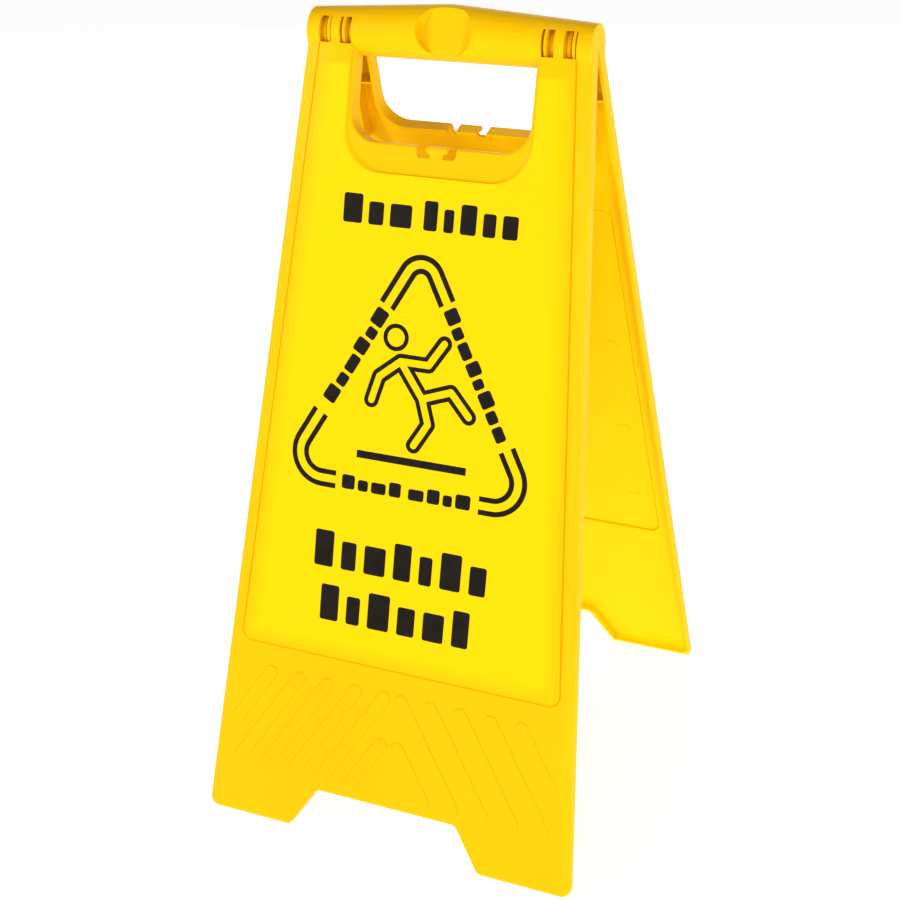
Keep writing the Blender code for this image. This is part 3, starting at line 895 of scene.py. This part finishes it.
def triangle_corner(corner, first, second, radius, inset, reaches):
    """A rounded corner of the triangle, whose straight ends reach so far from the sharp corner."""
    half = first.angle(second) / 2
    bisector = (first + second).normalized()
    vertex = corner + bisector * inset / math.sin(half)
    small = radius - inset
    centre = vertex + bisector * small / math.sin(half)
    start = vertex + first * small / math.tan(half)
    end = vertex + second * small / math.tan(half)
    a0 = math.atan2(start.y - centre.y, start.x - centre.x)
    a1 = math.atan2(end.y - centre.y, end.x - centre.x)
    turn = (a1 - a0 + math.pi) % (2 * math.pi) - math.pi
    shift = inset / math.tan(half)
    path = [vertex + first * (reaches[0] - shift)]
    path += arc(centre, small, a0, a0 + turn)
    path.append(vertex + second * (reaches[1] - shift))
    return path


def triangle():
    """Two parallel rounded lines, broken along each side."""
    apex = Vector((TRIANGLE_MIDDLE, -TRIANGLE_APEX_REACH))
    height = TRIANGLE_BASE_REACH - TRIANGLE_APEX_REACH
    spread = height * math.tan(TRIANGLE_HALF_ANGLE)
    left = apex + Vector((-spread, -height))
    right = apex + Vector((spread, -height))
    down_left = (left - apex).normalized()
    down_right = (right - apex).normalized()
    across = Vector((1, 0))
    lines = []
    for inset in (0.0, LINE_SPACING):
        corners = (
            (apex, down_left, down_right, TRIANGLE_APEX_RADIUS, APEX_REACHES),
            (left, -down_left, across, TRIANGLE_BASE_RADIUS, LEFT_REACHES),
            (right, -across, -down_right, TRIANGLE_BASE_RADIUS, RIGHT_REACHES),
        )
        for corner, first, second, radius, reaches in corners:
            path = triangle_corner(corner, first, second, radius, inset, reaches)
            lines.append(ink_line(path, LINE_WIDTH))
    return lines


def level_words(line, height, row):
    """A level row of blocks at z = line."""
    start, end, count, first = row
    return word_blocks(Vector((start, line)), Vector((end, line)), height, count, first)


def side_words():
    """The rows of blocks that fill the breaks in the triangle's three sides."""
    height = SIDE_WORD_HEIGHT
    middle = LINE_SPACING / 2
    words = []
    for side, first, last, count in SIDE_WORD_BREAKS:
        ends = []
        for reach in (first, last):
            offset = (reach - TRIANGLE_APEX_REACH) * math.tan(TRIANGLE_HALF_ANGLE)
            offset -= (middle + height / 2) / math.cos(TRIANGLE_HALF_ANGLE)
            ends.append(Vector((TRIANGLE_MIDDLE + side * offset, -reach)))
        words += word_blocks(ends[0], ends[1], height, count)
    line = -TRIANGLE_BASE_REACH + middle - height / 2
    for row in BASE_ROWS:
        words += level_words(line, height, row)
    return words


def headline():
    words = []
    for row in HEADLINE_ROWS:
        words += level_words(-HEADLINE_REACH, HEADLINE_HEIGHT, row)
    return words


def footer():
    words = []
    for reach, row in FOOTER_ROWS:
        words += level_words(-reach, FOOTER_HEIGHT, row)
    return words


def capsule_outline(a, b, radius):
    """A straight limb with round ends."""
    heading = math.atan2(b.y - a.y, b.x - a.x)
    points = arc(b, radius, heading - math.pi / 2, heading + math.pi / 2)
    return points + arc(a, radius, heading + math.pi / 2, heading + 3 * math.pi / 2)


def limbs_solid(name, radius, front, back):
    """All limbs of the slipping figure at one thickness, joined."""
    whole = None
    for limb, joints in FIGURE_LIMBS.items():
        points = [Vector((x, -reach)) for x, reach in joints]
        for index, (a, b) in enumerate(zip(points, points[1:])):
            outline = capsule_outline(a, b, radius)
            piece = loft(f"{name}_{limb}_{index}", lambda m: outline, [(front, 0), (back, 0)])
            if whole is None:
                whole = piece
            else:
                boolean(whole, piece, "UNION")
    return whole


def figure_mesh():
    """A plain pictogram of somebody slipping: ring head, outlined limbs and a bar for the floor."""
    before = set(bpy.data.objects)
    front, back = ink_layers()
    outer = limbs_solid("outer", LIMB_RADIUS, front, back)
    inner = limbs_solid("inner", LIMB_RADIUS - FIGURE_LINE, front - INK_ROOT, back + INK_ROOT)
    boolean(outer, inner, "DIFFERENCE")
    builder = bmesh.new()
    builder.from_mesh(frozen(outer, "limbs"))
    remove_helpers(before)
    centre = Vector((HEAD_PLACE[0], -HEAD_PLACE[1]))
    ring = arc(centre, HEAD_RADIUS - FIGURE_LINE / 2, 0.0, 2 * math.pi, steps=HEAD_STEPS)[:-1]
    ink_line(ring, FIGURE_LINE, closed=True)(builder)
    bar = [Vector((x, -FLOOR_BAR_REACH)) for x in (-FLOOR_BAR_HALF, FLOOR_BAR_HALF)]
    ink_line(bar, FLOOR_BAR_WIDTH)(builder)
    return mesh_from_bmesh(builder, "figure")


PRINT_PARTS = {
    "headline": headline,
    "triangle": triangle,
    "side_words": side_words,
    "footer": footer,
}


# ---------------------------------------------------------------- materials

def new_material(name):
    """A material with its node tree, its shader and the place on the object, as a socket."""
    material = bpy.data.materials.new(name)
    material.use_nodes = True
    tree = material.node_tree
    place = tree.nodes.new("ShaderNodeTexCoord").outputs["Object"]
    return material, tree, tree.nodes["Principled BSDF"], place


def fill(tree, node, values):
    """Sets each socket to a constant, or links it if the value is a socket of another node."""
    for name, value in values.items():
        if isinstance(value, bpy.types.NodeSocket):
            tree.links.new(value, node.inputs[name])
        else:
            node.inputs[name].default_value = value
    return node


def noise(tree, scale, detail, vector):
    values = {"Scale": scale, "Detail": detail, "Vector": vector}
    return fill(tree, tree.nodes.new("ShaderNodeTexNoise"), values).outputs["Fac"]


def ramp(tree, value, start, end, low=0.0, high=1.0):
    """Maps a value onto a range: low up to one value and high beyond another."""
    values = {"From Min": start, "From Max": end, "To Min": low, "To Max": high, "Value": value}
    return fill(tree, tree.nodes.new("ShaderNodeMapRange"), values).outputs["Result"]


def spread(tree, value, low, high):
    """Maps the middle of a noise's range onto a range of values."""
    return ramp(tree, value, 0.3, 0.7, low, high)


def mixed(tree, factor, first, second):
    node = tree.nodes.new("ShaderNodeMix")
    node.data_type = "RGBA"
    return fill(tree, node, {"A": first, "B": second, "Factor": factor}).outputs["Result"]


def bumped(tree, height, strength, distance, normal=None):
    values = {"Strength": strength, "Distance": distance, "Height": height}
    if normal:
        values["Normal"] = normal
    return fill(tree, tree.nodes.new("ShaderNodeBump"), values).outputs["Normal"]


def part(tree, vector, axis):
    node = tree.nodes.new("ShaderNodeSeparateXYZ")
    return fill(tree, node, {"Vector": vector}).outputs[axis]


def product(tree, first, second):
    node = tree.nodes.new("ShaderNodeMath")
    node.operation = "MULTIPLY"
    return fill(tree, node, {0: first, 1: second}).outputs["Value"]


def outward_depth(tree, place):
    """How far a point lies along its own panel's outward normal, from the world's origin.

    The two normals mirror each other, so one dot product with the size of y serves both.
    """
    folded = tree.nodes.new("ShaderNodeVectorMath")
    folded.operation = "ABSOLUTE"
    fill(tree, folded, {0: place})
    across = tree.nodes.new("ShaderNodeVectorMath")
    across.operation = "DOT_PRODUCT"
    normal = (0.0, math.cos(OPEN_HALF_ANGLE), math.sin(OPEN_HALF_ANGLE))
    return fill(tree, across, {0: folded.outputs["Vector"], 1: normal}).outputs["Value"]


def yellow_plastic():
    """Moulded plastic with painted light and shade: lighter on the field and inside, darker on the
    face round the field; uneven in colour and gloss, grained.
    """
    material, tree, shader, place = new_material("yellow_plastic_moulded")
    depth = outward_depth(tree, place)
    face = AXIS.z * math.sin(OPEN_HALF_ANGLE) + FACE_OFFSET
    # Painted light and shade: the raised field below the barrel gets the lighter field yellow, and
    # the rest of the outer face gets the darker face yellow.
    raised = ramp(tree, depth, face + FIELD_STEP, face + FIELD_HEIGHT)
    height = part(tree, place, "Z")
    below = ramp(tree, height, AXIS.z - BARREL_END_RADIUS, AXIS.z - BARREL_MIDDLE_RADIUS)
    outer_light_and_shade_yellow = mixed(tree, product(tree, raised, below), SHADED_FACE_YELLOW, LIT_FIELD_YELLOW)
    # Painted light: faces that look inward get the lighter inside yellow.
    facing = part(tree, tree.nodes.new("ShaderNodeTexCoord").outputs["Normal"], "Y")
    outward = product(tree, part(tree, place, "Y"), facing)
    inside = ramp(tree, outward, -0.004, -0.010)
    light_and_shade_yellow = mixed(tree, inside, outer_light_and_shade_yellow, LIT_INSIDE_YELLOW)
    drift = spread(tree, noise(tree, 6.0, 3.0, place), 0.0, 0.35)
    grain = bumped(tree, noise(tree, 2600.0, 2.0, place), 0.10, 0.0002)
    values = {
        "Base Color": mixed(tree, drift, light_and_shade_yellow, DRIFT_YELLOW),
        "Roughness": spread(tree, noise(tree, 55.0, 6.0, place), 0.34, 0.46),
        "Normal": bumped(tree, noise(tree, 160.0, 2.0, place), 0.05, 0.0010, grain),
        "Specular IOR Level": PLASTIC_SPECULAR,
    }
    fill(tree, shader, values)
    return material


def black_ink():
    """Screen-printed ink: not quite black, slightly mottled, with a fine mesh tooth."""
    material, tree, shader, place = new_material("black_screen_ink")
    patch = spread(tree, noise(tree, 90.0, 5.0, place), 0.0, 1.0)
    values = {
        "Base Color": mixed(tree, patch, INK_DARK, INK_PALE),
        "Roughness": spread(tree, noise(tree, 240.0, 4.0, place), 0.42, 0.60),
        "Normal": bumped(tree, noise(tree, 3500.0, 1.0, place), 0.08, 0.0001),
        "Specular IOR Level": INK_SPECULAR,
    }
    fill(tree, shader, values)
    return material


def pin_steel():
    """Drawn steel wire: streaks along the pin."""
    material, tree, shader, place = new_material("drawn_pin_steel")
    stretch = tree.nodes.new("ShaderNodeMapping")
    fill(tree, stretch, {"Scale": (30.0, 1500.0, 1500.0), "Vector": place})
    streak = noise(tree, 1.0, 4.0, stretch.outputs["Vector"])
    values = {
        "Base Color": mixed(tree, spread(tree, streak, 0.0, 1.0), STEEL_DARK, STEEL_PALE),
        "Roughness": spread(tree, streak, 0.45, 0.60),
        "Normal": bumped(tree, streak, 0.1, 0.0001),
        "Metallic": 1.0,
    }
    fill(tree, shader, values)
    return material


def floor_material():
    """A pale floor that gives off light, for the look of a cut-out picture."""
    material, tree, shader, place = new_material("pale_floor")
    tint = spread(tree, noise(tree, 2.0, 2.0, place), 0.0, 1.0)
    values = {
        "Base Color": mixed(tree, tint, FLOOR_DARK, FLOOR_PALE),
        "Roughness": 0.6,
        "Emission Color": WHITE,
        "Emission Strength": FLOOR_GLOW,
    }
    fill(tree, shader, values)
    return material


# ---------------------------------------------------------------- pieces

def stance(body):
    """Where a panel's own frame lies when the sign stands open."""
    turn = Matrix.Rotation(-OPEN_HALF_ANGLE, 4, "X")
    if body == "back":
        turn = Matrix.Rotation(math.pi, 4, "Z") @ turn
    return Matrix.Translation(AXIS) @ turn


def place_piece(name, mesh, matrix, material, body):
    own = mesh.copy()
    own.name = name
    own.transform(matrix)
    own.materials.clear()
    own.materials.append(material)
    obj = bpy.data.objects.new(name, own)
    bpy.context.scene.collection.objects.link(obj)
    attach(obj, body)
    return obj


def smooth(mesh):
    mesh.shade_smooth()
    mesh.set_sharp_from_angle(angle=SMOOTH_ANGLE)


def make_panels(plastic, ink):
    """Both panels and their print. The record has no slot for ink, so it takes the panel's."""
    shell = panel_mesh()
    smooth(shell)
    prints = {name: ink_mesh(name, make()) for name, make in PRINT_PARTS.items()}
    prints["figure"] = figure_mesh()
    for body in ("front", "back"):
        name = f"{body}_panel_moulding"
        panel = place_piece(name, shell, stance(body), plastic, body)
        weighted = panel.modifiers.new("flat_faces", "WEIGHTED_NORMAL")
        weighted.keep_sharp = True
        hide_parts(f"{body}_panel")
        for name, mesh in prints.items():
            name = f"{body}_print_{name}"
            place_piece(name, mesh, stance(body), ink, body)


def make_spacers(plastic):
    """Moulded rings round the hinge pins that fill the room between the knuckle discs."""
    discs = [place + step for place in WINDOW_PLACES for step in (-KNUCKLE_STEP, KNUCKLE_STEP)]
    starts = [SPACER_START] + [x + KNUCKLE / 2 + SPACER_CLEARANCE for x in discs]
    ends = [x - KNUCKLE / 2 - SPACER_CLEARANCE for x in discs] + [SPACER_END]
    for hand, side in (("left", -1), ("right", 1)):
        builder = bmesh.new()
        for index, (start, end) in enumerate(zip(starts, ends)):
            ring = disc(f"spacer_{index}", side * (start + end) / 2, SPACER_RADIUS, end - start)
            builder.from_mesh(ring.data)
            bpy.data.objects.remove(ring, do_unlink=True)
        mesh = bpy.data.meshes.new("spacers")
        builder.to_mesh(mesh)
        builder.free()
        smooth(mesh)
        name = f"hinge_spacers_{hand}"
        place_piece(name, mesh, Matrix.Translation(AXIS), plastic, "front")


def make_pins(steel):
    for name, side in (("hinge_pin_left", -1), ("hinge_pin_right", 1)):
        half = (PIN_END - PIN_START) / 2
        profile = [
            (-half, PIN_RADIUS - PIN_CHAMFER),
            (-half + PIN_CHAMFER, PIN_RADIUS),
            (half - PIN_CHAMFER, PIN_RADIUS),
            (half, PIN_RADIUS - PIN_CHAMFER),
        ]
        helper = lathe(name + "_rod", profile, Matrix.Identity(4), PIN_SIDES)
        mesh = helper.data
        bpy.data.objects.remove(helper, do_unlink=True)
        smooth(mesh)
        place = Matrix.Translation(AXIS + Vector((side * (PIN_START + PIN_END) / 2, 0, 0)))
        pin = place_piece(name + "_rod", mesh, place, steel, "front")
        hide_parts(name)


# ---------------------------------------------------------------- setting

def make_floor():
    bpy.ops.mesh.primitive_plane_add(size=FLOOR_SIZE)
    floor = bpy.context.object
    floor.name = "floor"
    floor.data.materials.append(floor_material())


def area_light(name, place, aim, size, power):
    light = bpy.data.lights.new(name, "AREA")
    light.shape = "RECTANGLE"
    light.size, light.size_y = size
    light.energy = power
    lamp = bpy.data.objects.new(name, light)
    lamp.location = place
    target = Vector((0, 0, AXIS.z * aim))
    lamp.rotation_euler = (target - Vector(place)).to_track_quat("-Z", "Y").to_euler()
    bpy.context.scene.collection.objects.link(lamp)


def make_lights():
    for row in LIGHTS:
        area_light(*row)
    world = bpy.data.worlds.new("studio")
    world.use_nodes = True
    background = world.node_tree.nodes["Background"]
    background.inputs["Color"].default_value = WHITE
    background.inputs["Strength"].default_value = WORLD_STRENGTH
    bpy.context.scene.world = world
    bpy.context.scene.view_settings.view_transform = "Standard"


def make_camera():
    back = Vector(
        (
            math.sin(CAMERA_AZIMUTH) * math.cos(CAMERA_ELEVATION),
            -math.cos(CAMERA_AZIMUTH) * math.cos(CAMERA_ELEVATION),
            math.sin(CAMERA_ELEVATION),
        )
    )
    level_right = (-back).cross(Vector((0, 0, 1))).normalized()
    level_up = level_right.cross(-back)
    right = level_right * math.cos(CAMERA_ROLL) + level_up * math.sin(CAMERA_ROLL)
    up = level_up * math.cos(CAMERA_ROLL) - level_right * math.sin(CAMERA_ROLL)
    matrix = Matrix((right, up, back)).transposed().to_4x4()
    matrix.translation = CAMERA_TARGET + back * CAMERA_DISTANCE
    data = bpy.data.cameras.new("camera")
    data.lens = CAMERA_LENS
    data.sensor_width = SENSOR_WIDTH
    camera = bpy.data.objects.new("camera", data)
    camera.matrix_world = matrix
    bpy.context.scene.collection.objects.link(camera)
    bpy.context.scene.camera = camera


plastic = yellow_plastic()
make_panels(plastic, black_ink())
make_spacers(plastic)
make_pins(pin_steel())
make_floor()
make_lights()
make_camera()
bpy.context.view_layer.update()
